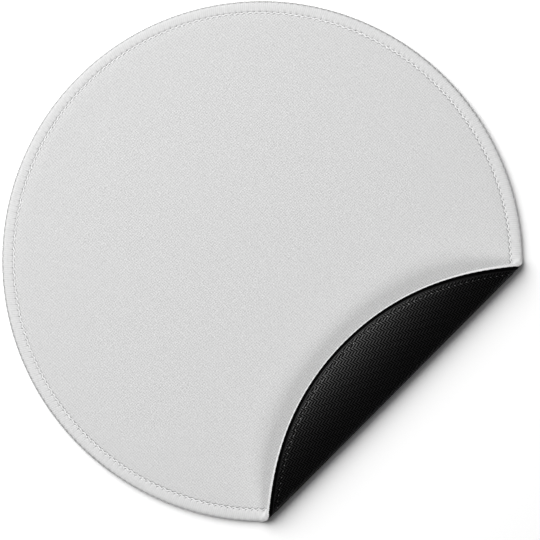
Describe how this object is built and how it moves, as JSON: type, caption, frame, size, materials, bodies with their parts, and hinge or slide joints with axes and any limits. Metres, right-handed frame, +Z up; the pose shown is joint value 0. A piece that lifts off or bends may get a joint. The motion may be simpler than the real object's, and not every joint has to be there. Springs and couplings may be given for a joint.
{
  "type": "mouse pad",
  "caption": "Round mouse pad with a pale knitted face, a black rubber base and an overlocked edge, one side rolled back over the face.",
  "frame": {"origin": "centre of the round outline, on the underside that lies on the desk", "axes": "+Z up through the face, +X along the fold, -Y towards the side that is folded over"},
  "size_m": [0.22, 0.1889, 0.012],
  "materials": {
    "face_cloth": "matte",
    "bonding_film": "satin",
    "rubber_base": "matte",
    "pale_thread": "satin",
    "black_thread": "satin"
  },
  "bodies": {
    "root": {"face_cloth": "face_cloth", "bonding_film": "bonding_film", "rubber_base": "rubber_base", "upper_looper_thread": "pale_thread", "lower_looper_thread": "black_thread", "needle_thread": "pale_thread"}
  },
  "joints": []
}
